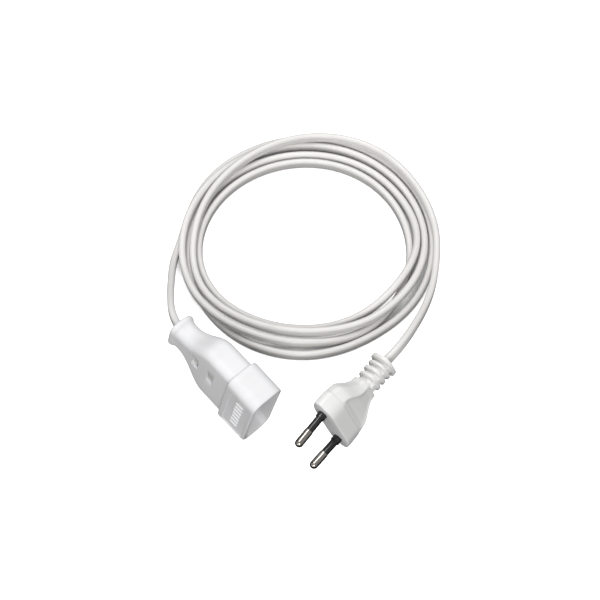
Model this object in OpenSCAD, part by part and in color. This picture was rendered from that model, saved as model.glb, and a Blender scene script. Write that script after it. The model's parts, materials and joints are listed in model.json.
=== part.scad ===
// Flat two-pole extension cord: a socket coupler, a ring of flat cord and a two-pin plug.
// Millimetres, +Z up. The origin is under the middle of the coupler, on the surface that
// the cord lies on. The coupler's mouth faces -Y.

/* [Coupler] */
// Width of the hood around the socket
hood_width = 39; // [39:0.5:42]
// Thickness of the hood
hood_thickness = 17.5; // [17.5:0.5:20]
// Length of the hood, from the mouth to its step
hood_length = 17.5; // [16:0.5:20]
// Corner radius of the hood
hood_corner = 3.5; // [2:0.5:5]
// Wall of the hood
hood_wall = 1.6; // [1.4:0.1:1.6]
// Depth of the recess that takes the plug's nose
recess_depth = 13; // [11:0.5:14]
// Width of the body behind the hood
body_width = 36.5; // [36:0.5:38]
// Thickness of the body behind the hood
body_thickness = 14.2; // [14.2:0.1:15]
// Width at the waist
waist_width = 15.5; // [15:0.5:18]
// Thickness at the waist
waist_thickness = 11.6; // [11.4:0.1:13]
// Width of the flared collar
collar_width = 18; // [17:0.5:20]
// Thickness of the flared collar
collar_thickness = 13.4; // [13:0.1:14.6]
// Length of the whole coupler
coupler_length = 56.5; // [56:0.5:58]

/* [Plug] */
// Width of the plug's face
face_width = 34.6; // [34:0.1:36]
// Thickness of the plug's face
face_thickness = 13; // [13:0.1:14.4]
// Length of the moulded body, from the face to the strain relief
plug_body_length = 24.5; // [24:0.5:25.5]
// Length from the face to the cord end of the strain relief
plug_length = 39.5; // [39:0.5:41]
// Length of the pins in front of the face
pin_length = 19; // [18.5:0.1:19.5]
// Length of the black sleeve on each pin
sleeve_length = 10; // [9:0.5:11]
// Angle at which each pin leans towards the other
pin_toe_in = 2.2; // [0:0.1:2.4]

/* [Poles] */
// Radius of a pin's bare end
pin_radius = 2; // [1.9:0.05:2.05]
// Radial gap between a pin and a contact sleeve
contact_gap = 0.03; // [0.01:0.01:0.05]
// Distance between the two poles
pole_spacing = 18.8; // [18.4:0.1:19.2]

/* [Cord] */
// Width of the flat sheath
cord_width = 5.4; // [5.2:0.1:5.6]
// Thickness of the flat sheath
cord_thickness = 3.4; // [3.2:0.1:3.6]

/* [Places] */
// Nose-down tilt of the coupler as it lies
coupler_pitch = 9; // [8:1:10]
// Sideways lean of the coupler as it lies
coupler_lean = 7; // [6:1:8]
// Nose-down tilt of the plug as it lies
plug_pitch = 5; // [4:1:6]
// Sideways lean of the plug as it lies
plug_lean = 25.5; // [24.5:0.5:26.5]
// Turn of the plug away from -X
plug_turn = 6; // [5:1:7]

/* [Hidden] */
$fn = 48;

white = "#e9e9e6";
brown = "#6b4226";
blue = "#2c5fa8";
copper = "#b8733a";
nickel = "#b9b7b0";
black = "#141414";

// One cut always runs this far past the face that it opens
over = 1;
// Parts that slip together keep this gap
slip = 0.1;
pole_at = pole_spacing / 2;

// Coupler stations along its length, and the socket insert's sizes
mouth_at = [0, -27.13, 20.02];
shoulder_at = 33.5;
taper_end = 43;
waist_at = 50;
flange_length = 2.5;
insert_start = recess_depth + flange_length;
cavity_width = 32;
cavity_thickness = 11.2;
cavity_end = 36;
carrier_end = 34;
small_window_at = 28;
large_window_at = 38.4;
window_rise = 2.6;
pocket_width = 11;
pocket_thickness = 8;
pocket_start = 42;
pocket_end = 52;
grip_start = 46.5;
contact_length = 16;
contact_bore = 15;
contact_wall = 0.6;
contact_start = insert_start + 0.2;
contact_end = contact_start + contact_length;
crimp_length = 5;
crimp_radius = 1.6;
strand_radius = 0.7;
core_radius = 1.1;
panel_depth = 0.4;
lug_height = 0.4;

// Plug stations and insert sizes
plug_face_at = [20, -51.1, 16.5];
bridge_start = 1;
bridge_end = 8;
bridge_width = 25;
bridge_thickness = 7.6;
shank_radius = 1.5;
sleeve_radius = 1.8;
sleeve_collar_radius = 2.25;
sleeve_collar_length = 2.6;
pin_crimp_end = 12;
sheath_start = 21.5;
core_room = 4.4;

// The ring of cord: its middle, its radii and its height, two layers of cord on edge
coil_at = [87.5, 31.5, 0];
coil_inner = 46.8;
coil_outer = 67.8;
coil_height = 2 * cord_width + 0.2;
coil_corner = 2;

// The two loose stretches, from the coupler to the ring and from the ring to the plug
coupler_tail = [[0.6, 28.7, 28.5], [2, 33.8, 27.9], [4.8, 39.5, 26], [8.8, 45.3, 23],
                [13.2, 51, 19.4], [18.5, 57.3, 15.2], [25, 64.6, 10.4], [29.5, 69, 7.6]];
plug_tail = [[112.5, -29.4, 9.7], [102.6, -35, 11.9], [91.8, -39.7, 15.3], [82.6, -42.9, 18],
             [74.1, -45.2, 19.8], [67.4, -46.4, 20.5], [59.4, -47, 20]];

// ---- shared shapes ----

// A rectangle with round corners, a by b, centred
module round_rect(a, b, r) {
  square([a - 2 * r, b], center = true);
  square([a, b - 2 * r], center = true);
  for (x = [-1, 1], y = [-1, 1]) {
    translate([x * (a / 2 - r), y * (b / 2 - r)]) circle(r, $fn = 32);
  }
}

// Coupler slab: x is thickness, z is width, from y0 over a length
module coupler_slab(y0, length, width, thickness, r) {
  translate([0, y0, 0])
    rotate([-90, 0, 0])
      linear_extrude(length) round_rect(thickness, width, r);
}

// Plug slab: y is thickness, z is width, from x0 over a length
module plug_slab(x0, length, width, thickness, r) {
  translate([x0, 0, 0])
    rotate([90, 0, 90])
      linear_extrude(length) round_rect(thickness, width, r);
}

// A length of the flat sheath's section, grown by a gap, along +Z with its width along Y
module flat_section(length, gap = 0) {
  r = cord_thickness / 2 + gap;
  half_run = (cord_width - cord_thickness) / 2;
  linear_extrude(length) {
    square([2 * r, 2 * half_run], center = true);
    for (s = [-1, 1]) {
      translate([0, s * half_run]) circle(r);
    }
  }
}

function unit(v) = v / norm(v);

// Direction of the route at its point i
function heading(route, i) =
  let (last = len(route) - 1)
  unit(route[min(i + 1, last)] - route[max(i - 1, 0)]);

// One ring of points around the route: half_a across and half_b upwards
function ring(route, i, half_a, half_b, sides) =
  let (along = heading(route, i), across = unit(cross(along, [0, 0, 1])),
       up = cross(across, along))
  [for (k = [0 : sides - 1])
    route[i] + across * half_a * cos(360 * k / sides) + up * half_b * sin(360 * k / sides)];

// A tube swept along a route, as one polyhedron
module swept(route, half_a, half_b, sides) {
  rings = len(route);
  points = [for (i = [0 : rings - 1]) each ring(route, i, half_a, half_b, sides)];
  walls = [for (i = [0 : rings - 2], k = [0 : sides - 1])
    let (next = (k + 1) % sides)
    [i * sides + k, i * sides + next, (i + 1) * sides + next, (i + 1) * sides + k]];
  first = [for (k = [0 : sides - 1]) sides - 1 - k];
  last = [for (k = [0 : sides - 1]) (rings - 1) * sides + k];
  polyhedron(points, concat([first], walls, [last]));
}

// ---- places ----

module in_coupler() {
  translate(mouth_at)
    rotate([coupler_pitch, 0, 0])
      rotate([0, coupler_lean, 0]) children();
}

module in_plug() {
  translate(plug_face_at)
    rotate([0, 0, plug_turn])
      rotate([0, -plug_pitch, 0])
        rotate([-plug_lean, 0, 0]) children();
}

// A pole of the coupler, along its +Y: side is 1 for the upper pole
module at_pole(side, y) {
  translate([0, y, side * pole_at]) rotate([-90, 0, 0]) children();
}

// A pole of the plug, with +Z out along the pin from the face
module at_pin(side) {
  translate([0, 0, side * pole_at]) rotate([0, -90 - side * pin_toe_in, 0]) children();
}

// ---- coupler ----

module coupler_outside() {
  coupler_slab(0, hood_length, hood_width, hood_thickness, hood_corner);
  hull() {
    coupler_slab(hood_length - 0.5, 1, body_width, body_thickness, 4);
    coupler_slab(shoulder_at, 0.5, body_width, body_thickness, 4);
  }
  hull() {
    coupler_slab(shoulder_at, 0.5, body_width, body_thickness, 4);
    coupler_slab(36.5, 0.5, 32.8, 13.7, 4);
  }
  hull() {
    coupler_slab(36.5, 0.5, 32.8, 13.7, 4);
    coupler_slab(taper_end, 0.5, 19.8, 12.4, 4);
  }
  hull() {
    coupler_slab(taper_end, 0.5, 19.8, 12.4, 4);
    coupler_slab(waist_at, 0.5, waist_width, waist_thickness, 4);
  }
  hull() {
    coupler_slab(waist_at, 0.5, waist_width, waist_thickness, 4);
    coupler_slab(coupler_length - 0.5, 0.5, collar_width, collar_thickness, 4);
  }
}

module coupler_hollow() {
  coupler_slab(-over, insert_start + over, hood_width - 2 * hood_wall,
               hood_thickness - 2 * hood_wall, 2);
  coupler_slab(insert_start - over, cavity_end - insert_start + over, cavity_width,
               cavity_thickness, 2);
  hull() {
    coupler_slab(cavity_end - 0.5, 0.5, cavity_width, cavity_thickness, 2);
    coupler_slab(pocket_start, 0.5, pocket_width, pocket_thickness, 1);
  }
  coupler_slab(pocket_start, pocket_end - pocket_start, pocket_width, pocket_thickness, 1);
  translate([0, pocket_end - over, 0])
    rotate([-90, 0, 0]) flat_section(coupler_length - pocket_end + 2 * over, slip);
}

// A window through both broad faces
module window(y, length, height) {
  translate([0, y, window_rise])
    cube([body_thickness + 2 * over, length, height], center = true);
}

module label_panels() {
  for (side = [-1, 1]) {
    translate([side * hood_thickness / 2, hood_length / 2 - 0.5, -1])
      cube([2 * panel_depth, 13, 29], center = true);
  }
}

module coupler_shell() {
  color(white) in_coupler() difference() {
    coupler_outside();
    coupler_hollow();
    window(small_window_at, 3.4, 6.6);
    window(large_window_at, 4, 8);
    label_panels();
  }
}

module contact_carrier() {
  color("#dddcd6") in_coupler() {
    difference() {
      union() {
        coupler_slab(recess_depth, flange_length, hood_width - 2 * hood_wall - 2 * slip,
                     hood_thickness - 2 * hood_wall - 2 * slip, 1.9);
        coupler_slab(insert_start, carrier_end - insert_start, cavity_width - 2 * slip,
                     cavity_thickness - 2 * slip, 1.9);
        for (side = [-1, 1]) {
          translate([side * cavity_thickness / 2, small_window_at, window_rise])
            cube([2 * lug_height, 3, 6], center = true);
        }
      }
      for (side = [-1, 1]) {
        at_pole(side, recess_depth - over) cylinder(h = flange_length + 2 * over, r = 2.5);
        at_pole(side, contact_start) cylinder(h = carrier_end, r = 3);
      }
    }
  }
}

module carrier_retainer() {
  color("#dddcd6") in_coupler() difference() {
    rotate([90, 0, 90])
      linear_extrude(10, center = true)
        polygon([[34.1, -15], [35.4, -15], [40.8, -7.2], [40.8, 7.2], [35.4, 15], [34.1, 15]]);
    for (side = [-1, 1]) {
      at_pole(side, 33) cylinder(h = 9, r = crimp_radius + slip);
    }
    translate([0, 38.5, 0]) cube([4, 4, 13], center = true);
  }
}

module contact(side) {
  outer = pin_radius + contact_gap + contact_wall;
  difference() {
    at_pole(side, contact_start) cylinder(h = contact_length, r = outer);
    at_pole(side, contact_start - over)
      cylinder(h = contact_bore + over, r = pin_radius + contact_gap);
    translate([0, contact_start + 4, side * (pole_at + outer)])
      cube([0.8, 10, 2 * outer], center = true);
  }
  difference() {
    at_pole(side, contact_end) cylinder(h = crimp_length, r = crimp_radius);
    at_pole(side, contact_end + 0.6) cylinder(h = crimp_length, r = strand_radius);
  }
}

module contact_brown() {
  color(nickel) in_coupler() contact(1);
}

module contact_blue() {
  color(nickel) in_coupler() contact(-1);
}

// The conductor runs from the crimp in to the middle, where the sheath ends
module coupler_core(side) {
  swept([[0, contact_end + crimp_length, side * pole_at],
         [0, contact_end + crimp_length + 1.2, side * (pole_at - 0.6)],
         [0, 40.4, side * 6.2], [0, 43, side * 2.6], [0, 45, side * 1.3],
         [0, grip_start, side * 1.2]], core_radius, core_radius, 10);
}

module coupler_core_brown() {
  color(brown) in_coupler() coupler_core(1);
}

module coupler_core_blue() {
  color(blue) in_coupler() coupler_core(-1);
}

module coupler_core_ends() {
  color(copper) in_coupler() {
    for (side = [-1, 1]) {
      at_pole(side, contact_end + 0.6) cylinder(h = crimp_length - 0.6, r = strand_radius);
    }
  }
}

module coupler_cord_grip() {
  color("#dddcd6") in_coupler() difference() {
    coupler_slab(grip_start, pocket_end - grip_start, pocket_width - 2 * slip,
                 pocket_thickness - 2 * slip, 1);
    translate([0, grip_start - over, 0]) rotate([-90, 0, 0]) flat_section(9);
  }
}

module coupler_sheath_end() {
  color(white) in_coupler()
    translate([0, grip_start, 0])
      rotate([-90, 0, 0]) flat_section(coupler_length - grip_start);
}

// ---- cord ----

module cord_coupler_tail() {
  color(white) swept(coupler_tail, cord_thickness / 2, cord_width / 2, 8);
}

module cord_plug_tail() {
  color(white) swept(plug_tail, cord_thickness / 2, cord_width / 2, 8);
}

module cord_coil() {
  color(white) translate(coil_at)
    rotate_extrude($fn = 96)
      translate([(coil_inner + coil_outer) / 2, coil_height / 2])
        round_rect(coil_outer - coil_inner, coil_height, coil_corner);
}

// ---- plug ----

// A flat hexagon with blunt narrow ends: y across and z along the width
module blunt_hexagon(width, thickness) {
  half_z = width / 2;
  half_y = thickness / 2;
  flat = half_z * 0.66;
  blunt = half_y * 0.27;
  polygon([[-half_y, -flat], [-blunt, -half_z], [blunt, -half_z], [half_y, -flat],
           [half_y, flat], [blunt, half_z], [-blunt, half_z], [-half_y, flat]]);
}

module hexagon_slab(x0, length, width, thickness) {
  translate([x0, 0, 0]) rotate([90, 0, 90]) linear_extrude(length) blunt_hexagon(width, thickness);
}

module plug_outside() {
  hull() {
    hexagon_slab(0, 1.5, face_width, face_thickness);
    hexagon_slab(8, 0.5, 33.4, 12.4);
  }
  hull() {
    hexagon_slab(8, 0.5, 33.4, 12.4);
    hexagon_slab(13, 0.5, 31.2, 12.6);
  }
  hull() {
    hexagon_slab(13, 0.5, 31.2, 12.6);
    hexagon_slab(17.5, 0.5, 21.6, 12);
  }
  hull() {
    hexagon_slab(17.5, 0.5, 21.6, 12);
    plug_slab(21, 0.5, 14.6, 10.4, 4);
  }
  hull() {
    plug_slab(21, 0.5, 14.6, 10.4, 4);
    plug_slab(plug_body_length - 0.5, 0.5, 13, 9.8, 4);
  }
}

// The room for the crimps and conductors, narrower step by step
module core_channels() {
  plug_slab(bridge_end - over, 6.6 + over, 24, core_room, 1.5);
  plug_slab(14, 3, 20, core_room, 1.5);
  plug_slab(16, 3, 14, core_room, 1.5);
  plug_slab(18, sheath_start - 18, 9.2, core_room, 1.5);
}

module plug_body() {
  color(white) in_plug() difference() {
    plug_outside();
    plug_slab(bridge_start, bridge_end - bridge_start, bridge_width, bridge_thickness, 1.5);
    for (side = [-1, 1]) {
      at_pin(side) translate([0, 0, -2]) cylinder(h = 4, r = sleeve_collar_radius);
    }
    core_channels();
    translate([sheath_start, 0, 0]) rotate([90, 0, 90]) flat_section(6);
  }
}

// Rings around the cord with deep slots between them, and a wider collar at the cord end
module plug_strain_relief() {
  color(white) in_plug() difference() {
    union() {
      plug_slab(plug_body_length, plug_length - plug_body_length, 7.6, 8.8, 3.4);
      for (x = [27.5, 31.3, 35.1]) {
        plug_slab(x, 2, 11.6, 11, 5);
      }
      plug_slab(37, plug_length - 37, 14, 12.8, 6);
    }
    translate([plug_body_length - over, 0, 0])
      rotate([90, 0, 90]) flat_section(plug_length - plug_body_length + 2 * over);
  }
}

module pin_bridge() {
  color("#c9c7bf") in_plug() difference() {
    plug_slab(bridge_start, bridge_end - bridge_start, bridge_width, bridge_thickness, 1.5);
    for (side = [-1, 1]) {
      at_pin(side) translate([0, 0, -12]) cylinder(h = 14, r = shank_radius);
      at_pin(side) translate([0, 0, -2]) cylinder(h = 4, r = sleeve_collar_radius);
    }
  }
}

// A pin: crimp barrel, shank through the bridge, and the bare end with its round tip
module pin(side) {
  at_pin(side) difference() {
    rotate_extrude() {
      translate([0, -bridge_end]) square([shank_radius, bridge_end + sleeve_length]);
      translate([0, -pin_crimp_end]) square([crimp_radius, pin_crimp_end - bridge_end]);
      translate([0, sleeve_length])
        square([pin_radius, pin_length - sleeve_length - pin_radius]);
      translate([0, pin_length - pin_radius]) intersection() {
        square(pin_radius);
        circle(pin_radius);
      }
    }
    translate([0, 0, -pin_crimp_end - over])
      cylinder(h = pin_crimp_end - bridge_end, r = strand_radius);
  }
}

module pin_upper() {
  color(nickel) in_plug() pin(1);
}

module pin_lower() {
  color(nickel) in_plug() pin(-1);
}

// A sleeve: a thin tube over the shank, with a thick collar sunk into the face
module pin_sleeve(side) {
  at_pin(side) difference() {
    union() {
      cylinder(h = sleeve_length, r = sleeve_radius);
      translate([0, 0, -2]) cylinder(h = sleeve_collar_length + 2, r = sleeve_collar_radius);
    }
    translate([0, 0, -3]) cylinder(h = sleeve_length + 4, r = shank_radius);
  }
}

module pin_sleeve_upper() {
  color(black) in_plug() pin_sleeve(1);
}

module pin_sleeve_lower() {
  color(black) in_plug() pin_sleeve(-1);
}

module plug_core(side) {
  swept([[pin_crimp_end, 0, side * (pole_at + 0.4)],
         [pin_crimp_end + 1.2, 0, side * (pole_at + 0.1)],
         [15.2, 0, side * 7.4], [17.6, 0, side * 4], [19.6, 0, side * 1.6],
         [sheath_start, 0, side * 1.2]], core_radius, core_radius, 10);
}

module plug_core_brown() {
  color(brown) in_plug() plug_core(1);
}

module plug_core_blue() {
  color(blue) in_plug() plug_core(-1);
}

module plug_core_ends() {
  color(copper) in_plug() {
    for (side = [-1, 1]) {
      at_pin(side) translate([0, 0, -pin_crimp_end])
        cylinder(h = pin_crimp_end - bridge_end - over, r = strand_radius);
    }
  }
}

module plug_sheath_end() {
  color(white) in_plug()
    translate([sheath_start, 0, 0])
      rotate([90, 0, 90]) flat_section(plug_length - sheath_start);
}

coupler_shell();
contact_carrier();
carrier_retainer();
contact_brown();
contact_blue();
coupler_core_brown();
coupler_core_blue();
coupler_core_ends();
coupler_cord_grip();
coupler_sheath_end();
cord_coupler_tail();
cord_coil();
cord_plug_tail();
plug_body();
plug_strain_relief();
pin_bridge();
pin_upper();
pin_lower();
pin_sleeve_upper();
pin_sleeve_lower();
plug_core_brown();
plug_core_blue();
plug_core_ends();
plug_sheath_end();
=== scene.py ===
import json
import math

import bmesh
import bpy
import numpy as np
from mathutils import Matrix, Vector


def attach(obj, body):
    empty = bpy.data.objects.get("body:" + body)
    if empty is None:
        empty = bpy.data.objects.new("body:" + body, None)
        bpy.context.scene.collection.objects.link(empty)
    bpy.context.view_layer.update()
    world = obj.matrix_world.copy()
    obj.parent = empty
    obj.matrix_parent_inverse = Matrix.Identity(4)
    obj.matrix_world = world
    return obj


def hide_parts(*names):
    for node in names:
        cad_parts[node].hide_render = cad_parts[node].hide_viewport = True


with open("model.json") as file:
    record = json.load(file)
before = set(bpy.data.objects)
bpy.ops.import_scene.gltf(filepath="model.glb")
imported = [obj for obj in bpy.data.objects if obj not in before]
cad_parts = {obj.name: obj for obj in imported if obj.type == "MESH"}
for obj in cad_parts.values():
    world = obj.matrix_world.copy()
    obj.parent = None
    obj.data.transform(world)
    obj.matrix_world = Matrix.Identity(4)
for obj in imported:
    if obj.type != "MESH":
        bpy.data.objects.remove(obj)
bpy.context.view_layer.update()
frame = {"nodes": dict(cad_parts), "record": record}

# Lengths are millimetres, and MM turns them into metres. The places of the camera and the
# lights, the size of the floor and the distances of bumps are in metres.
MM = 0.001

# From millimetres to metres, along the row frame's own axes
ROW = Matrix.Diagonal((MM, MM, MM, 1))


# ---------------------------------------------------------------- where the parts lie

MOUNTS = {m["name"]: m for m in frame["record"]["mounts"]}

# From the coupler's mouth to its socket face, and along a pin from the plug's face to its mount
RECESS_DEPTH = 13
PIN_MOUNT_AT = 13.5


def mount_at(name):
    return Vector(MOUNTS[name]["pos_m"])


def mount_axis(name):
    return Vector(MOUNTS[name]["axis"]).normalized()


def place(x_axis, y_axis, z_axis, origin):
    """A matrix from a part's own millimetres to the row frame's metres."""
    turn = Matrix((x_axis, y_axis, z_axis)).transposed().to_4x4()
    return Matrix.Translation(origin) @ turn @ ROW


def coupler_place():
    """The coupler's own axes: +Y from mouth to cord, Z across its width, X its thickness."""
    y_axis = -mount_axis("socket_face")
    across = mount_at("socket_upper") - mount_at("socket_lower")
    z_axis = (across - across.dot(y_axis) * y_axis).normalized()
    mouth = mount_at("socket_face") - RECESS_DEPTH * MM * y_axis
    return place(y_axis.cross(z_axis), y_axis, z_axis, mouth)


def plug_place():
    """The plug's own axes: +X from face to cord, Z across its width, Y its thickness."""
    x_axis = -(mount_axis("pin_upper") + mount_axis("pin_lower")).normalized()
    across = mount_at("pin_upper") - mount_at("pin_lower")
    z_axis = (across - across.dot(x_axis) * x_axis).normalized()
    middle = (mount_at("pin_upper") + mount_at("pin_lower")) / 2
    toe_in = mount_axis("pin_upper").angle(mount_axis("pin_lower")) / 2
    face = middle + PIN_MOUNT_AT * math.cos(toe_in) * MM * x_axis
    return place(x_axis, z_axis.cross(x_axis), z_axis, face)


COUPLER = coupler_place()
PLUG = plug_place()


# ---------------------------------------------------------------- camera

# From a fit to outline points in the photo
CAMERA_TARGET = Vector((0.0622, 0.0126, 0))
CAMERA_DISTANCE = 0.5844
CAMERA_AZIMUTH = math.radians(44)
CAMERA_ELEVATION = math.radians(60)
CAMERA_LENS = 70.8
CAMERA_SENSOR = 36
CAMERA_CLIP = (0.01, 100)


def make_camera():
    data = bpy.data.cameras.new("camera")
    data.lens = CAMERA_LENS
    data.sensor_width = CAMERA_SENSOR
    data.clip_start, data.clip_end = CAMERA_CLIP
    camera = bpy.data.objects.new("camera", data)
    bpy.context.scene.collection.objects.link(camera)
    level = math.cos(CAMERA_ELEVATION)
    back = Vector((-math.sin(CAMERA_AZIMUTH) * level, -math.cos(CAMERA_AZIMUTH) * level,
                   math.sin(CAMERA_ELEVATION)))
    camera.location = CAMERA_TARGET + CAMERA_DISTANCE * back
    camera.rotation_mode = "QUATERNION"
    camera.rotation_quaternion = (-back).to_track_quat("-Z", "Y")
    bpy.context.scene.camera = camera


make_camera()


# ---------------------------------------------------------------- mesh tools

# Edges sharper than this stay sharp, unless a piece says otherwise
SHARP_DEGREES = 35

# The most of a side that the arc at one of its corners may take
ARC_SHARE = 0.48


def new_piece(name, points, faces, matrix=None, sharp_degrees=SHARP_DEGREES):
    """A mesh piece from points, smooth except across edges sharper than the angle."""
    mesh = bpy.data.meshes.new(name)
    mesh.from_pydata([tuple(p) for p in points], [], faces)
    if matrix is not None:
        mesh.transform(matrix)
    mesh.validate()
    turn_outwards(mesh)
    finish_mesh(mesh, sharp_degrees)
    piece = bpy.data.objects.new(name, mesh)
    bpy.context.scene.collection.objects.link(piece)
    return piece


def turn_outwards(mesh):
    work = bmesh.new()
    work.from_mesh(mesh)
    bmesh.ops.recalc_face_normals(work, faces=work.faces)
    work.to_mesh(mesh)
    work.free()


def finish_mesh(mesh, sharp_degrees):
    mesh.polygons.foreach_set("use_smooth", [True] * len(mesh.polygons))
    mesh.set_sharp_from_angle(angle=math.radians(sharp_degrees))
    mesh.update()


def ring_faces(rings, count):
    """Quads between rings of the same number of points, and a face at each end."""
    faces = []
    for i in range(rings - 1):
        for k in range(count):
            n = (k + 1) % count
            faces.append((i * count + k, i * count + n, (i + 1) * count + n, (i + 1) * count + k))
    faces.append(tuple(reversed(range(count))))
    faces.append(tuple(range((rings - 1) * count, rings * count)))
    return faces


def loft(name, rings, matrix, sharp_degrees=SHARP_DEGREES):
    """A closed piece through rings of the same number of points."""
    points = [p for ring in rings for p in ring]
    return new_piece(name, points, ring_faces(len(rings), len(rings[0])), matrix, sharp_degrees)


def rounded_polygon(corners, radius, arc_points, side_points):
    """Points round a convex outline: an arc at each corner, and points along each side."""
    outline = []
    count = len(corners)
    for i in range(count):
        corner = np.array(corners[i], float)
        before = np.array(corners[i - 1], float) - corner
        after = np.array(corners[(i + 1) % count], float) - corner
        before_length = np.linalg.norm(before)
        after_length = np.linalg.norm(after)
        before /= before_length
        after /= after_length
        half = math.acos(np.clip(before @ after, -1, 1)) / 2
        run = min(radius[i] / math.tan(half), ARC_SHARE * before_length, ARC_SHARE * after_length)
        arc_radius = run * math.tan(half)
        inward = (before + after) / np.linalg.norm(before + after)
        middle = corner + inward * arc_radius / math.sin(half)
        start = corner + before * run - middle
        turn = math.pi - 2 * half
        side = 1 if before[0] * after[1] - before[1] * after[0] < 0 else -1
        for k in range(arc_points):
            angle = side * turn * k / (arc_points - 1)
            c, s = math.cos(angle), math.sin(angle)
            outline.append(middle + (start[0] * c - start[1] * s, start[0] * s + start[1] * c))
    full = []
    for i in range(len(outline)):
        full.append(outline[i])
        if i % arc_points == arc_points - 1:
            following = outline[(i + 1) % len(outline)]
            for k in range(1, side_points + 1):
                full.append(outline[i] + (following - outline[i]) * k / (side_points + 1))
    return full


def rounded_rect(half_a, half_b, radius, arc_points, side_points):
    corners = [(half_a, half_b), (-half_a, half_b), (-half_a, -half_b), (half_a, -half_b)]
    return rounded_polygon(corners, [radius] * 4, arc_points, side_points)


def minus(piece, cutters, sharp_degrees):
    """Cuts each cutter out of the piece and removes the cutters."""
    for cutter in cutters:
        cut = piece.modifiers.new("cut", "BOOLEAN")
        cut.operation = "DIFFERENCE"
        cut.solver = "EXACT"
        cut.object = cutter
    graph = bpy.context.evaluated_depsgraph_get()
    mesh = bpy.data.meshes.new_from_object(piece.evaluated_get(graph))
    piece.modifiers.clear()
    piece.data = mesh
    for cutter in cutters:
        bpy.data.objects.remove(cutter)
    finish_mesh(mesh, sharp_degrees)


def smooth_between(stations, at):
    """Values between stations (place, value, value ...) on a curve that doesn't overshoot."""
    table = np.array(stations, float)
    x, y = table[:, 0], table[:, 1:]
    step = np.diff(x)[:, None]
    slope = np.diff(y, axis=0) / step
    tangent = np.zeros_like(y)
    for i in range(1, len(x) - 1):
        same_way = slope[i - 1] * slope[i] > 0
        mean = 2 * slope[i - 1] * slope[i] / np.where(same_way, slope[i - 1] + slope[i], 1)
        tangent[i] = np.where(same_way, mean, 0)
    tangent[0], tangent[-1] = slope[0], slope[-1]
    i = int(np.clip(np.searchsorted(x, at, side="right") - 1, 0, len(x) - 2))
    t = (at - x[i]) / step[i, 0]
    return (y[i] * (1 + 2 * t) * (1 - t) ** 2 + tangent[i] * step[i] * t * (1 - t) ** 2
            + y[i + 1] * t * t * (3 - 2 * t) + tangent[i + 1] * step[i] * t * t * (t - 1))


def soft_step(value, low, high):
    """Rises smoothly from 0 at low to 1 at high."""
    t = min(max((value - low) / (high - low), 0), 1)
    return t * t * (3 - 2 * t)


def band(value, low, high, soft):
    """1 between low and high and 0 outside, with soft ends."""
    fall = soft_step(value, high - soft, high + soft)
    return soft_step(value, low - soft, low + soft) * (1 - fall)


# ---------------------------------------------------------------- cord

CORD_WIDTH = 5.4
CORD_THICKNESS = 3.4
CORD_STEP = 1.5
CORD_SHARP_DEGREES = 60
FLOOR_GAP = 0.02

# The sheath's two ends, inside the coupler and inside the plug, along their own axes
COUPLER_SHEATH_START = 46.5
PLUG_SHEATH_END = 21.5

# The loose stretches, as in the CAD model
COUPLER_TAIL = [(0.6, 28.7, 28.5), (2, 33.8, 27.9), (4.8, 39.5, 26), (8.8, 45.3, 23),
                (13.2, 51, 19.4), (18.5, 57.3, 15.2), (25, 64.6, 10.4), (29.5, 69, 7.6)]
ONTO_RING = (34, 72.7, 5.3)
OFF_RING = (123, -21.8, 8.4)
PLUG_TAIL = [(112.5, -29.4, 9.7), (102.6, -35, 11.9), (91.8, -39.7, 15.3), (82.6, -42.9, 18),
             (74.1, -45.2, 19.8), (67.4, -46.4, 20.5), (59.4, -47, 20)]

# The ring: its turns run clockwise from this bearing, with a station every 30 degrees.
# A turn is its radius at each station, and the height of its middle above the floor. The radii
# were chosen from strand places measured in the photo; the heights are guesses.
RING_CENTRE = (87.5, 31.5)
RING_START_DEGREES = 136
RING_STEP_DEGREES = -30
TURNS = [
    ((65.8, 65.2, 66, 66, 65, 63.5, 62, 61.3, 60.8, 63.3, 64.3, 63),
     (3.3, 2.7, 2.7, 2.7, 2.7, 2.7, 2.7, 2.7, 2.7, 2.7, 2.7, 2.7)),
    ((61.3, 59.5, 57, 55.5, 55, 54.3, 53.8, 50.6, 49, 49, 51.5, 55.5),
     (2.7, 2.7, 2.7, 2.7, 2.7, 3.2, 6.2, 8.5, 4.5, 2.7, 2.7, 2.7)),
    ((56, 54, 52, 50.8, 50, 49.5, 50.2, 52.5, 56.5, 57.5, 61.5, 65),
     (2.7, 2.7, 2.7, 2.7, 2.7, 2.7, 2.7, 2.7, 2.7, 4.2, 7.8, 8.6)),
    ((63.8, 62, 62.3, 61.9, 60.5, 59, 57.8, 56.2, 54.8, 53.5, 56, 60.2),
     (8.9, 8.1, 4.5, 2.7, 2.7, 2.7, 4.5, 8.1, 8.1, 8.1, 8.1, 8.1)),
    ((58.3, 57.8, 59.3, 63.2, 65, 63.4, 63.5),
     (8.1, 8.1, 8.8, 8.4, 8.1, 8.1, 8.1)),
]


# The width's direction eases to upright over the first run from each end. The plug also holds
# the last stretch of the sheath.
LEAN_RUN = 70
HELD_BY_PLUG = 19


def ring_points():
    points = []
    bearing = RING_START_DEGREES
    for radii, heights in TURNS:
        for radius, height in zip(radii, heights):
            angle = math.radians(bearing)
            points.append((RING_CENTRE[0] + radius * math.cos(angle),
                           RING_CENTRE[1] + radius * math.sin(angle), height))
            bearing += RING_STEP_DEGREES
    return points


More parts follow.
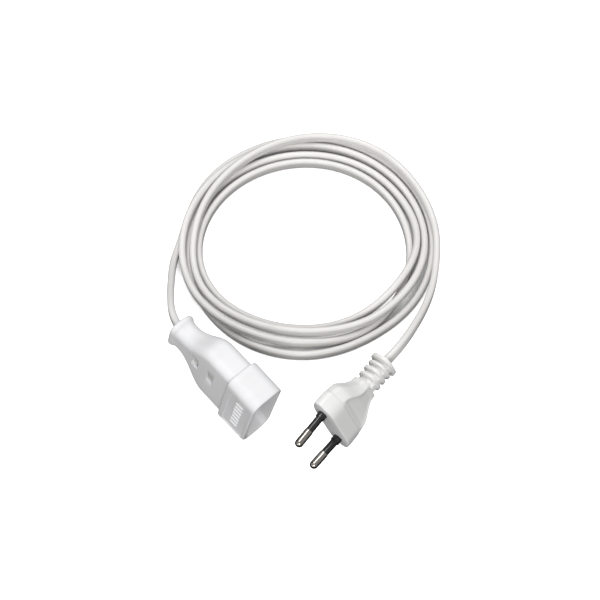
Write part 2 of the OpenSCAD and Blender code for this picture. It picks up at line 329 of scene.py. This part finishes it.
def smooth_line(points, step):
    """A natural cubic spline through the points, sampled about every step."""
    p = np.array(points, float)
    n = len(p)
    h = np.linalg.norm(np.diff(p, axis=0), axis=1)
    run = np.concatenate([[0], np.cumsum(h)])
    system = np.eye(n)
    right = np.zeros((n, 3))
    for i in range(1, n - 1):
        system[i, i - 1:i + 2] = h[i - 1], 2 * (h[i - 1] + h[i]), h[i]
        right[i] = 6 * ((p[i + 1] - p[i]) / h[i] - (p[i] - p[i - 1]) / h[i - 1])
    bend = np.linalg.solve(system, right)
    at = np.linspace(0, run[-1], int(run[-1] / step) + 1)
    k = np.clip(np.searchsorted(run, at, side="right") - 1, 0, n - 2)
    a, b, span = (run[k + 1] - at)[:, None], (at - run[k])[:, None], h[k][:, None]
    return ((bend[k] * a ** 3 + bend[k + 1] * b ** 3) / (6 * span)
            + (p[k] / span - bend[k] * span / 6) * a
            + (p[k + 1] / span - bend[k + 1] * span / 6) * b)


def in_row(matrix, point):
    """A part's own point in the row frame, still in millimetres."""
    return tuple(matrix @ Vector(point) / MM)


def cord_points():
    inside_coupler = [in_row(COUPLER, (0, y, 0)) for y in (COUPLER_SHEATH_START, 50)]
    inside_plug = [in_row(PLUG, (x, 0, 0)) for x in (34, 28, PLUG_SHEATH_END)]
    return (inside_coupler + COUPLER_TAIL + [ONTO_RING] + ring_points() + [OFF_RING]
            + PLUG_TAIL + inside_plug)


def unit_rows(rows):
    return rows / np.linalg.norm(rows, axis=1)[:, None]


def cord_ups(run, along):
    """The direction of the sheath's width: upright on the ring, and as each end's part leans."""
    coupler_up = np.array(COUPLER.to_3x3() @ Vector((0, 0, 1))) / MM
    plug_up = np.array(PLUG.to_3x3() @ Vector((0, 0, 1))) / MM
    upright = np.array((0, 0, 1.0))
    near_coupler = np.clip(1 - run / LEAN_RUN, 0, 1)[:, None] ** 2
    near_plug = np.clip(1 - (run[-1] - run - HELD_BY_PLUG) / LEAN_RUN, 0, 1)[:, None] ** 1.5
    up = upright + near_coupler * (coupler_up - upright) + near_plug * (plug_up - upright)
    up -= np.sum(up * along, axis=1)[:, None] * along
    return unit_rows(up)


def add_marks(piece, name, values):
    """Stores a value at each point, for a material to read."""
    marks = piece.data.attributes.new(name, "FLOAT", "POINT")
    marks.data.foreach_set("value", values.astype(np.float32))


def swell(run):
    """How the drawn section grows and shrinks a little along the cord."""
    return 1 + 0.004 * math.sin(run / 9.1) * math.sin(run / 23.7)


def make_cord():
    line = smooth_line(cord_points(), CORD_STEP)
    line[:, 2] = np.maximum(line[:, 2], CORD_WIDTH / 2 + FLOOR_GAP)
    along = unit_rows(np.gradient(line, axis=0))
    run = np.concatenate([[0], np.cumsum(np.linalg.norm(np.diff(line, axis=0), axis=1))])
    up = cord_ups(run, along)
    across = np.cross(along, up)
    section = rounded_rect(CORD_THICKNESS / 2, CORD_WIDTH / 2, CORD_THICKNESS / 2 * 0.98, 7, 1)
    count = len(section)
    rings = []
    for i in range(len(line)):
        size = swell(run[i])
        rings.append([line[i] + size * (a * across[i] + b * up[i]) for a, b in section])
    cord = loft("cord", rings, ROW, CORD_SHARP_DEGREES)
    add_marks(cord, "run", np.repeat(run, count))
    add_marks(cord, "around", np.tile(np.abs(np.arange(count) / count * 2 - 1), len(line)))
    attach(cord, "root")
    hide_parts("cord_coupler_tail", "cord_coil", "cord_plug_tail",
                "coupler_sheath_end", "plug_sheath_end")
    return cord, line * MM, run[-1] * MM


cord, cord_line, cord_length = make_cord()


# ---------------------------------------------------------------- coupler

HOOD_LENGTH = 17.5
COUPLER_SHARP_DEGREES = 32

# Profiles of the cuts into a broad face: distance from the coupler's middle plane, and growth of
# the outline there, from deep to shallow
SMALL_WINDOW_PROFILE = [(4, 0), (6.7, 0), (6.95, 0.12), (7.11, 0.38), (8.3, 0.6)]
LARGE_WINDOW_PROFILE = [(4, 0), (6.2, 0), (6.45, 0.12), (6.65, 0.4), (8.3, 0.7)]
PANEL_PROFILE = [(8.2, -0.3), (8.24, -0.1), (8.35, 0), (8.65, 0.06), (8.74, 0.2), (9.5, 0.5)]

# The windows: place along, place across, half length, half width, profile. They are a few
# hundredths off round values, with which the boolean left one window standing.
WINDOWS = [(28.02, 2.61, 1.72, 3.33, SMALL_WINDOW_PROFILE),
           (38.43, 2.61, 2.02, 4.03, LARGE_WINDOW_PROFILE)]
WINDOW_CORNER = 0.4

# The sunk label panels
PANEL_MIDDLE = (8, -1)
PANEL_HALF_SIZE = (6.5, 14.5)
PANEL_CORNER = 1.2
PANEL_FLOOR = 8.2

# Their plain ribs: the profile is the rise from the panel's floor and the outline's shrinkage
RIB_COUNT = 7
RIB_SPACING = 3.2
RIB_HALF_SIZE = (2.3, 0.62)
RIB_CORNER = 0.55
RIB_PROFILE = [(-0.25, 0), (0.3, 0.06), (0.46, 0.16), (0.52, 0.34)]
RIB_SHARP_DEGREES = 50


def coupler_ring(y, half_t, half_w, radius):
    return [(a, y, b) for a, b in rounded_rect(half_t, half_w, radius, 9, 5)]


def coupler_rows():
    """Rows of the coupler's outside: place along it, half thickness, half width, corner radius."""
    rows = [(0, 8.15, 18.9, 4.5), (0.1, 8.45, 19.2, 4.8), (0.35, 8.67, 19.42, 5),
            (0.8, 8.75, 19.5, 5.1), (8, 8.75, 19.5, 4.8), (16.6, 8.7, 19.5, 4.3),
            (17.05, 8.6, 19.41, 4.2), (17.35, 8.4, 19.21, 4.1), (HOOD_LENGTH, 8.1, 18.95, 4),
            (17.52, 7.6, 18.75, 3.6), (17.65, 7.24, 18.4, 3.9), (18, 7.12, 18.27, 4)]
    stations = [(18, 7.12, 18.27, 4), (26, 7.1, 18.25, 4), (31, 7.1, 18.22, 4),
                (33.2, 7.04, 17.85, 4.2), (35.5, 6.9, 16.8, 4.4), (37.5, 6.75, 15.2, 4.5),
                (40, 6.5, 12.9, 4.5), (43, 6.2, 10.3, 4.5), (46, 5.85, 8.6, 4.4),
                (48.5, 5.7, 7.8, 4.4), (51, 5.7, 7.6, 4.4), (53, 5.95, 7.95, 4.5),
                (54.2, 6.5, 8.75, 4.8), (55.1, 6.7, 9, 5), (55.8, 6.6, 8.87, 4.9),
                (56.25, 6.35, 8.6, 4.8), (56.5, 5.95, 8.2, 4.5)]
    rows += [(y, *smooth_between(stations, y)) for y in np.arange(19, 56, 0.5)]
    return rows + stations[-3:]


def coupler_hollow():
    """The cutter for the inside: the mouth, the room behind it, the waist and the flared exit."""
    rows = [(-1, 8.2, 19, 4.4), (-0.01, 7.62, 18.38, 4.2), (0.15, 7.4, 18.18, 4.1),
            (0.5, 7.25, 18, 4), (15.5, 7.15, 17.9, 2.6), (15.5, 5.6, 16, 2), (36, 5.6, 16, 2),
            (42, 4, 5.5, 1), (52, 4, 5.5, 1), (52, 1.9, 2.9, 1.8), (54, 2.3, 3.3, 1.9),
            (55.5, 3, 3.8, 2.2), (56.2, 3.5, 4.3, 2.5), (56.52, 4, 4.8, 2.8), (58, 4.5, 5.3, 3)]
    return loft("hollow", [coupler_ring(*row) for row in rows], COUPLER)


def pocket(name, side, y, z, half_y, half_z, radius, profile):
    """A cutter into the broad face on one side."""
    rings = []
    for x, grow in profile:
        outline = rounded_rect(half_y + grow, half_z + grow, radius + grow, 6, 2)
        rings.append([(side * x, y + a, z + b) for a, b in outline])
    return loft(name, rings, COUPLER)


def make_coupler_cover():
    cover = loft("coupler_cover", [coupler_ring(*row) for row in coupler_rows()], COUPLER)
    cutters = [coupler_hollow()]
    for side in (-1, 1):
        for *window, profile in WINDOWS:
            cutters.append(pocket("window", side, *window, WINDOW_CORNER, profile))
        cutters.append(pocket("panel", side, *PANEL_MIDDLE, *PANEL_HALF_SIZE, PANEL_CORNER,
                              PANEL_PROFILE))
    minus(cover, cutters, COUPLER_SHARP_DEGREES)
    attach(cover, "root")
    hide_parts("coupler_shell")
    return cover


def make_panel_ribs():
    """Plain raised ribs on both label panels, with no lettering."""
    points, faces = [], []
    half_y, half_z = RIB_HALF_SIZE
    for side in (-1, 1):
        for k in range(RIB_COUNT):
            z = PANEL_MIDDLE[1] + RIB_SPACING * (k - RIB_COUNT // 2)
            rings = []
            for rise, shrink in RIB_PROFILE:
                outline = rounded_rect(half_y - shrink, half_z - shrink,
                                       RIB_CORNER - 0.9 * shrink, 5, 1)
                rings.append([(side * (PANEL_FLOOR + rise), PANEL_MIDDLE[0] + a, z + b)
                              for a, b in outline])
            first = len(points)
            points += [p for ring in rings for p in ring]
            faces += [tuple(first + i for i in face)
                      for face in ring_faces(len(rings), len(rings[0]))]
    ribs = new_piece("coupler_panel_ribs", points, faces, COUPLER, RIB_SHARP_DEGREES)
    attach(ribs, "root")
    return ribs


coupler_cover = make_coupler_cover()
panel_ribs = make_panel_ribs()


# ---------------------------------------------------------------- plug

# Rows of the plug's body: place, half width, half thickness, half width of the flat broad
# face, half thickness at the narrow side
PLUG_STATIONS = [(0.3, 17.2, 6.4, 11, 1.7), (3, 17.2, 6.4, 11, 1.7), (5.5, 17.15, 6.4, 10.9, 1.7),
                 (7.8, 17, 6.4, 10.85, 1.75), (8.5, 16.5, 6.1, 10.8, 1.8),
                 (10.5, 16, 6.1, 10.6, 2), (13, 15.1, 6.25, 9.6, 2.3),
                 (15.5, 12.7, 6.25, 7.4, 2.5), (17.5, 10.3, 6, 5.7, 2.7), (20, 8.1, 5.6, 4.4, 2.8),
                 (22, 6.9, 5.2, 3.9, 2.8), (24.5, 6.5, 4.9, 3.8, 2.8)]
PLUG_BODY_END = 24.5
PLUG_RELIEF_END = 39.5
PLUG_STEP = 0.4

# How the outline shrinks at the rounded edges of the face and of the back: (offset, shrinkage)
FACE_EDGE = [(0, 0.75), (0.08, 0.45), (0.25, 0.2), (0.5, 0.05)]
BACK_EDGE = [(0, 0.1), (0.15, 0.4)]

# The grip panels: where they run along the plug, and how deep they are sunk
GRIP_RUN = (10, 22)
GRIP_SINK = 0.35

# The narrow sides' corner radius, and that of the broad faces' edges, which is larger on the rim
SIDE_RADIUS = 2.4
CREASE_RADIUS = 1.8
RIM_EXTRA_RADIUS = 8
RIM_ENDS = (6.5, 10.5)


def plug_ring(x, half_w, half_t, flat, edge, shrink=0):
    """The body's outline at x; each broad face is sunk a little inside its own S-shaped edge."""
    w, t = half_w - shrink, half_t - shrink
    e, f = max(edge - 0.6 * shrink, 0.4), flat - 0.6 * shrink
    corners = [(t, f), (e, w), (-e, w), (-t, f), (-t, -f), (-e, -w), (e, -w), (t, -f)]
    crease = CREASE_RADIUS + RIM_EXTRA_RADIUS * (1 - soft_step(x, *RIM_ENDS))
    outline = rounded_polygon(corners, [crease, SIDE_RADIUS, SIDE_RADIUS, crease] * 2, 6, 12)
    ring = []
    for a, b in outline:
        sink = GRIP_SINK * band(x, *GRIP_RUN, 1.2) * soft_step(flat - abs(b), 0.3, 1.2)
        ring.append((x, a - math.copysign(sink, a), b))
    return ring


def make_plug_moulding():
    first, last = PLUG_STATIONS[0][1:], PLUG_STATIONS[-1][1:]
    rings = [plug_ring(x, *first, shrink) for x, shrink in FACE_EDGE]
    x = 2 * PLUG_STEP
    while x < PLUG_BODY_END:
        rings.append(plug_ring(x, *smooth_between(PLUG_STATIONS, x)))
        x += PLUG_STEP
    rings += [plug_ring(PLUG_BODY_END + x, *last, shrink) for x, shrink in BACK_EDGE]
    moulding = loft("plug_moulding", rings, PLUG)
    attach(moulding, "root")
    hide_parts("plug_body")
    return moulding


# Rings of the strain relief: from, to, half thickness, half width; the last is its collar
RELIEF_RINGS = [(27.4, 29.2, 5.4, 5.8), (31, 32.8, 5.5, 5.9), (34.5, 36, 5.6, 6),
                (37.5, 39.9, 6.2, 6.8)]
RELIEF_CORE = (4.5, 3.7)
RELIEF_START = 24
RELIEF_POINTS = 96
RELIEF_STEP = 0.14

# The webs between the rings: how far they fill the way from the core to this oval, the angles
# from the broad face's middle between which they fade out, and where they end
WEB_FILL = 0.7
WEB_OVAL = (5.2, 5.5)
WEB_FADE_DEGREES = (12, 24)
WEB_END = 38

# 2 is an ellipse, and more is squarer
OVAL_POWER = 2.5


def oval_point(half_t, half_w, angle):
    c, s = math.cos(angle), math.sin(angle)
    return np.array((half_t * math.copysign(abs(c) ** (2 / OVAL_POWER), c),
                     half_w * math.copysign(abs(s) ** (2 / OVAL_POWER), s)))


def relief_ring(x):
    """The rings stand on a thin core, with a web between them down each broad face."""
    row = []
    for k in range(RELIEF_POINTS):
        angle = 2 * math.pi * k / RELIEF_POINTS
        point = oval_point(*RELIEF_CORE, angle)
        off_middle = 90 - abs(math.degrees(angle) % 180 - 90)
        fade = 1 - soft_step(off_middle, *WEB_FADE_DEGREES)
        web = WEB_FILL * fade * band(x, PLUG_BODY_END, WEB_END, 0.3)
        whole = oval_point(*WEB_OVAL, angle)
        shape = point + web * (whole - point)
        for start, end, half_t, half_w in RELIEF_RINGS:
            ring = oval_point(half_t, half_w, angle)
            shape = shape + band(x, start, end, 0.2) * (ring - shape)
        row.append((x, *shape))
    return row


def make_relief():
    places = np.arange(RELIEF_START, PLUG_RELIEF_END, RELIEF_STEP)
    end = [[(x, scale * a, scale * b) for _, a, b in relief_ring(PLUG_RELIEF_END)]
           for x, scale in ((PLUG_RELIEF_END - 0.15, 1), (PLUG_RELIEF_END, 0.96))]
    rings = [relief_ring(x) for x in places if x < PLUG_RELIEF_END - 0.3] + end
    relief = loft("relief", rings, PLUG)
    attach(relief, "root")
    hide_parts("plug_strain_relief")
    return relief


plug_moulding = make_plug_moulding()
relief = make_relief()


# ---------------------------------------------------------------- materials

def add(tree, kind, values=None, **settings):
    """A shader node; a value that is a socket is linked, any other is set."""
    made = tree.nodes.new("ShaderNode" + kind)
    for key, setting in settings.items():
        setattr(made, key, setting)
    for key, value in (values or {}).items():
        if isinstance(value, bpy.types.NodeSocket):
            tree.links.new(value, made.inputs[key])
        else:
            made.inputs[key].default_value = value
    return made


def new_material(name):
    material = bpy.data.materials.new(name)
    material.use_nodes = True
    return material, material.node_tree, material.node_tree.nodes["Principled BSDF"]


def millimetres(tree, matrix):
    """The surface's place in millimetres, along the axes of the coupler, the plug or the row."""
    place_m = add(tree, "TexCoord").outputs["Object"]
    back = matrix.inverted()
    parts = []
    for i in range(3):
        along = add(tree, "VectorMath", {0: place_m, 1: tuple(back[i][:3])},
                    operation="DOT_PRODUCT")
        parts.append(add(tree, "Math", {0: along.outputs["Value"], 1: back[i][3]}).outputs[0])
    return add(tree, "CombineXYZ", {"X": parts[0], "Y": parts[1], "Z": parts[2]}).outputs[0]


def scaled(tree, vector, scale):
    return add(tree, "VectorMath", {0: vector, 1: scale}, operation="MULTIPLY").outputs[0]


def noise(tree, vector, scale, detail=2.0, roughness=0.5):
    return add(tree, "TexNoise", {"Vector": vector, "Scale": scale, "Detail": detail,
                                  "Roughness": roughness}).outputs["Fac"]


def spread(tree, value, low, high, start=0.3, stop=0.7):
    """A value between start and stop, spread over low to high."""
    return add(tree, "MapRange", {"Value": value, "From Min": start, "From Max": stop,
                                  "To Min": low, "To Max": high}).outputs["Result"]


def blend(tree, factor, first, second):
    mix = add(tree, "Mix", {"Factor": factor}, data_type="RGBA")
    for socket, colour in ((mix.inputs[6], first), (mix.inputs[7], second)):
        if isinstance(colour, bpy.types.NodeSocket):
            tree.links.new(colour, socket)
        else:
            socket.default_value = (*colour, 1)
    return mix.outputs[2]


def bump(tree, height, distance, strength, under=None):
    """A normal bumped by the height, on top of another bump where one is given."""
    values = {"Height": height, "Distance": distance, "Strength": strength}
    if under is not None:
        values["Normal"] = under
    return add(tree, "Bump", values).outputs["Normal"]


def times(tree, first, second):
    return add(tree, "Math", {0: first, 1: second}, operation="MULTIPLY").outputs[0]


def finish_material(tree, shader, colour, rough, normal):
    tree.links.new(colour, shader.inputs["Base Color"])
    tree.links.new(rough, shader.inputs["Roughness"])
    tree.links.new(normal, shader.inputs["Normal"])


def plastic(name, colour, matrix, rough, grain=0.00002, shade=0.93):
    """Moulded plastic: a fine sparked grain, soft flow marks, rubbed spots and faint scratches."""
    material, tree, shader = new_material(name)
    at = millimetres(tree, matrix)
    flow = noise(tree, scaled(tree, at, (0.05, 0.12, 0.05)), 1.0, 3.0)
    rubbed = noise(tree, at, 0.22, 4.0, 0.6)
    fine = noise(tree, at, 3.2, 2.0, 0.7)
    scratch = noise(tree, scaled(tree, at, (3.4, 0.16, 2.1)), 1.0, 2.0)
    lines = spread(tree, scratch, 0.0, 1.0, 0.66, 0.74)
    darker = tuple(shade * c for c in colour)
    tint = blend(tree, spread(tree, flow, 0.0, 0.7), colour, darker)
    roughness = add(tree, "Math", {0: spread(tree, rubbed, *rough),
                                   1: times(tree, lines, -0.06)})
    waves = bump(tree, flow, 0.00025, 0.35)
    grains = bump(tree, fine, grain, 0.8, waves)
    finish_material(tree, shader, tint, roughness.outputs[0],
                    bump(tree, lines, 0.000008, 0.35, grains))
    shader.inputs["IOR"].default_value = 1.5
    shader.inputs["Specular IOR Level"].default_value = 0.45
    return material


def sheath_material():
    """Soft cord sheath: long drawn streaks, a print-free surface, and slightly dulled patches."""
    material, tree, shader = new_material("white_sheath")
    run = add(tree, "Attribute", attribute_name="run").outputs["Fac"]
    around = add(tree, "Attribute", attribute_name="around").outputs["Fac"]
    unrolled = add(tree, "CombineXYZ", {"X": times(tree, run, 0.012),
                                        "Y": times(tree, around, 9.0), "Z": 0.0}).outputs[0]
    streaks = noise(tree, unrolled, 1.6, 3.0, 0.6)
    at = millimetres(tree, ROW)
    dull = noise(tree, at, 0.09, 4.0, 0.55)
    fine = noise(tree, at, 2.6, 2.0, 0.6)
    tint = blend(tree, spread(tree, streaks, 0.0, 0.8), (0.745, 0.73, 0.715), (0.69, 0.68, 0.665))
    soiled = blend(tree, spread(tree, dull, 0.0, 0.3, 0.5, 0.75), tint, (0.64, 0.625, 0.6))
    drawn = bump(tree, streaks, 0.00012, 0.5)
    finish_material(tree, shader, soiled, spread(tree, dull, 0.3, 0.46),
                    bump(tree, fine, 0.00002, 0.6, drawn))
    shader.inputs["IOR"].default_value = 1.51
    shader.inputs["Sheen Weight"].default_value = 0.04
    return material


def metal(name, colour, stain, matrix, along, rough):
    """Plated or drawn metal: turning marks, fine scratches along it, and dull handling stains."""
    material, tree, shader = new_material(name)
    at = millimetres(tree, matrix)
    stretch = tuple(0.25 if i == along else 5.0 for i in range(3))
    turned = tuple(6.0 if i == along else 0.4 for i in range(3))
    drawn = noise(tree, scaled(tree, at, stretch), 1.0, 4.0, 0.6)
    rings = noise(tree, scaled(tree, at, turned), 1.0, 2.0)
    marks = noise(tree, at, 0.55, 4.0, 0.65)
    tint = blend(tree, spread(tree, marks, 0.0, 0.8, 0.48, 0.72), colour, stain)
    roughness = add(tree, "Math", {0: spread(tree, marks, *rough),
                                   1: spread(tree, drawn, 0.0, 0.08)}).outputs[0]
    finish_material(tree, shader, tint, roughness,
                    bump(tree, rings, 0.000004, 0.2, bump(tree, drawn, 0.000006, 0.25)))
    shader.inputs["Metallic"].default_value = 1.0
    shader.inputs["Anisotropic"].default_value = 0.3
    return material


def black_sleeve():
    """Hard black sleeve plastic with a soft gloss, greyed where it has rubbed in sockets."""
    material, tree, shader = new_material("black_sleeve")
    at = millimetres(tree, PLUG)
    rubbed = noise(tree, scaled(tree, at, (0.35, 2.2, 2.2)), 1.0, 4.0, 0.6)
    fine = noise(tree, at, 4.0, 2.0)
    tint = blend(tree, spread(tree, rubbed, 0.0, 1.0, 0.5, 0.75), (0.007, 0.007, 0.009),
                 (0.022, 0.022, 0.022))
    finish_material(tree, shader, tint, spread(tree, rubbed, 0.14, 0.26),
                    bump(tree, fine, 0.000006, 0.5, bump(tree, rubbed, 0.00001, 0.3)))
    shader.inputs["Specular IOR Level"].default_value = 0.6
    return material


def paint(piece, material):
    piece.data.materials.clear()
    piece.data.materials.append(material)


cover_white = plastic("cover_white", (0.745, 0.745, 0.755), COUPLER, (0.44, 0.58))
plug_white = plastic("plug_white", (0.755, 0.75, 0.745), PLUG, (0.4, 0.55), 0.00003)
relief_white = plastic("relief_white", (0.76, 0.755, 0.745), PLUG, (0.4, 0.55), 0.00002, 0.94)
# The ribs are the cover's own plastic painted lighter: a painted highlight for the light that the
# raised ribs catch.
rib_painted_highlight = plastic("rib_painted_highlight", (0.86, 0.86, 0.87), COUPLER, (0.32, 0.42), 0.00001)
# The inserts are white plastic painted a darker grey: painted shade for the recesses of the
# windows and the mouth, where they show.
insert_painted_shade = plastic("insert_painted_shade", (0.55, 0.545, 0.52), COUPLER, (0.4, 0.55), 0.00003, 0.9)
bridge_cream = plastic("bridge_cream", (0.58, 0.56, 0.50), PLUG, (0.45, 0.6), 0.00004, 0.88)
core_brown = plastic("core_brown", (0.13, 0.055, 0.025), ROW, (0.34, 0.48), 0.00002, 0.8)
core_blue = plastic("core_blue", (0.025, 0.10, 0.38), ROW, (0.34, 0.48), 0.00002, 0.8)
nickel = metal("nickel_pin", (0.38, 0.355, 0.33), (0.3, 0.27, 0.24), PLUG, 0, (0.1, 0.18))
spring_nickel = metal("spring_nickel", (0.62, 0.60, 0.55), (0.42, 0.38, 0.31), COUPLER, 1,
                      (0.22, 0.38))
copper = metal("bare_copper", (0.78, 0.40, 0.24), (0.45, 0.2, 0.12), ROW, 0, (0.28, 0.45))
black = black_sleeve()

paint(coupler_cover, cover_white)
paint(panel_ribs, rib_painted_highlight)
paint(plug_moulding, plug_white)
paint(relief, relief_white)
paint(cord, sheath_material())

# The CAD nodes' materials; a node that isn't listed, such as those that the cord replaces, gets
# the inserts' material, whose white is painted darker as shade
NODE_LOOKS = {"contact_carrier": insert_painted_shade, "carrier_retainer": insert_painted_shade,
              "coupler_cord_grip": insert_painted_shade, "pin_bridge": bridge_cream,
              "contact_brown": spring_nickel, "contact_blue": spring_nickel,
              "coupler_core_brown": core_brown, "coupler_core_blue": core_blue,
              "plug_core_brown": core_brown, "plug_core_blue": core_blue,
              "coupler_core_ends": copper, "plug_core_ends": copper,
              "pin_upper": nickel, "pin_lower": nickel,
              "pin_sleeve_upper": black, "pin_sleeve_lower": black,
              "coupler_shell": cover_white, "plug_body": plug_white,
              "plug_strain_relief": relief_white}
for name, node in frame["nodes"].items():
    paint(node, NODE_LOOKS.get(name, insert_painted_shade))


# ---------------------------------------------------------------- stage and light

FLOOR_REACH = 30

# The floor has a painted glow where the sky is open above it, which hides the cast shadows on it.
# A gap that walls this near enclose gets painted shade, from fully dark at the first share of open
# sky to full glow at the second.
GAP_REACH = 0.02
FLOOR_GLOW = 0.95
DARK_TO_OPEN = (0.3, 0.48)

# The world's strength above the horizon and below it
SKY_STRENGTH = 0.48
GROUND_STRENGTH = 0.02


def make_floor():
    """A white table top with a painted glow that hides its cast shadows, and painted shade in the
    narrow gaps on it.
    """
    r = FLOOR_REACH
    floor = new_piece("floor", [(-r, -r, 0), (r, -r, 0), (r, r, 0), (-r, r, 0)], [(0, 1, 2, 3)])
    floor.visible_diffuse = False
    floor.visible_glossy = False
    material, tree, shader = new_material("floor_white")
    at = millimetres(tree, ROW)
    mottle = noise(tree, at, 0.02, 2.0)
    finish_material(tree, shader, blend(tree, mottle, (0.9, 0.9, 0.9), (0.88, 0.88, 0.88)),
                    spread(tree, mottle, 0.8, 0.9), bump(tree, mottle, 0.00001, 0.1))
    # Painted shade: the glow fades out where near walls enclose the floor.
    open_sky = add(tree, "AmbientOcclusion", {"Distance": GAP_REACH}, samples=8).outputs["AO"]
    glow = spread(tree, open_sky, 0.0, FLOOR_GLOW, *DARK_TO_OPEN)
    shader.inputs["Emission Color"].default_value = (1, 1, 1, 1)
    tree.links.new(glow, shader.inputs["Emission Strength"])
    shader.inputs["Specular IOR Level"].default_value = 0.0
    paint(floor, material)


def area_light(name, place_m, target_m, size, power):
    data = bpy.data.lights.new(name, "AREA")
    data.shape = "RECTANGLE"
    data.size, data.size_y = size
    data.energy = power
    light = bpy.data.objects.new(name, data)
    bpy.context.scene.collection.objects.link(light)
    light.location = place_m
    aim = Vector(target_m) - Vector(place_m)
    light.rotation_mode = "QUATERNION"
    light.rotation_quaternion = aim.to_track_quat("-Z", "Y")


def make_world():
    """A plain white room, brighter above the horizon than below it."""
    world = bpy.data.worlds.new("world")
    bpy.context.scene.world = world
    world.use_nodes = True
    tree = world.node_tree
    background = tree.nodes["Background"]
    background.inputs["Color"].default_value = (1, 1, 1, 1)
    height = add(tree, "SeparateXYZ", {0: add(tree, "TexCoord").outputs["Generated"]}).outputs["Z"]
    strength = spread(tree, height, GROUND_STRENGTH, SKY_STRENGTH, -0.15, 0.15)
    tree.links.new(strength, background.inputs["Strength"])


make_floor()
make_world()
area_light("key", (0.25, 0.3, 1.0), (0.06, 0.0, 0.0), (0.5, 0.5), 5.6)
area_light("fill", (-0.52, -0.6, 0.66), (0.05, 0.0, 0.0), (0.6, 0.6), 5.4)
area_light("side", (-1.0, -0.05, 0.3), (0.05, 0.0, 0.0), (0.6, 0.6), 1.5)
bpy.context.scene.view_settings.view_transform = "Standard"
